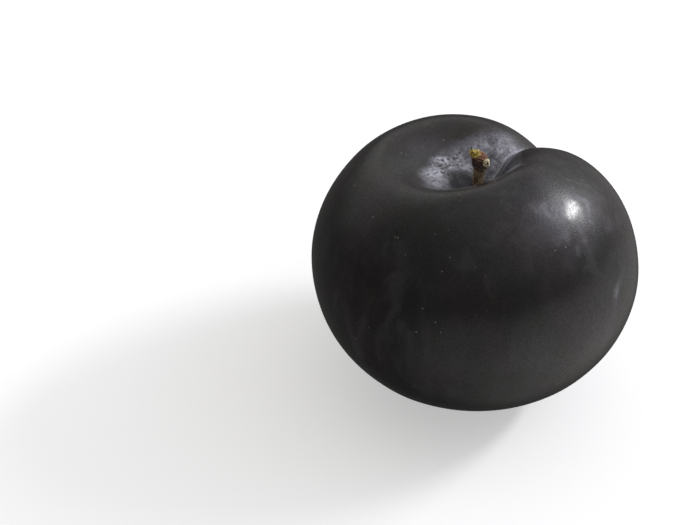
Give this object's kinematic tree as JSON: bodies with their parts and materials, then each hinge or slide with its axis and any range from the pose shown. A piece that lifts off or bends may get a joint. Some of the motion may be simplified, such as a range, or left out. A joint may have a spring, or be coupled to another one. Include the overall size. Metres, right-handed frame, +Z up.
{
  "type": "plum",
  "caption": "Ripe black plum with a deep stem cavity, a suture fold down its side and a short knobbly stem, resting on a small flat spot at its blossom end.",
  "frame": {"origin": "on the small flat spot at the blossom end that the plum rests on, straight below the foot of the stem", "axes": "+Z up, along the stem; +X towards the suture fold; +Y towards the cheek that the stem cavity reaches further into"},
  "size_m": [0.0622, 0.0669, 0.0555],
  "materials": {
    "plum_skin": "near-black waxy plum skin, half gloss, with a thin pale bloom that is rubbed off in places; gloss_plastic stands in for fruit skin",
    "stem_bark": "dry brown bark with a cracked, ochre, corky broken end"
  },
  "bodies": {
    "root": {"fruit": "plum_skin", "stem": "stem_bark"}
  },
  "joints": []
}
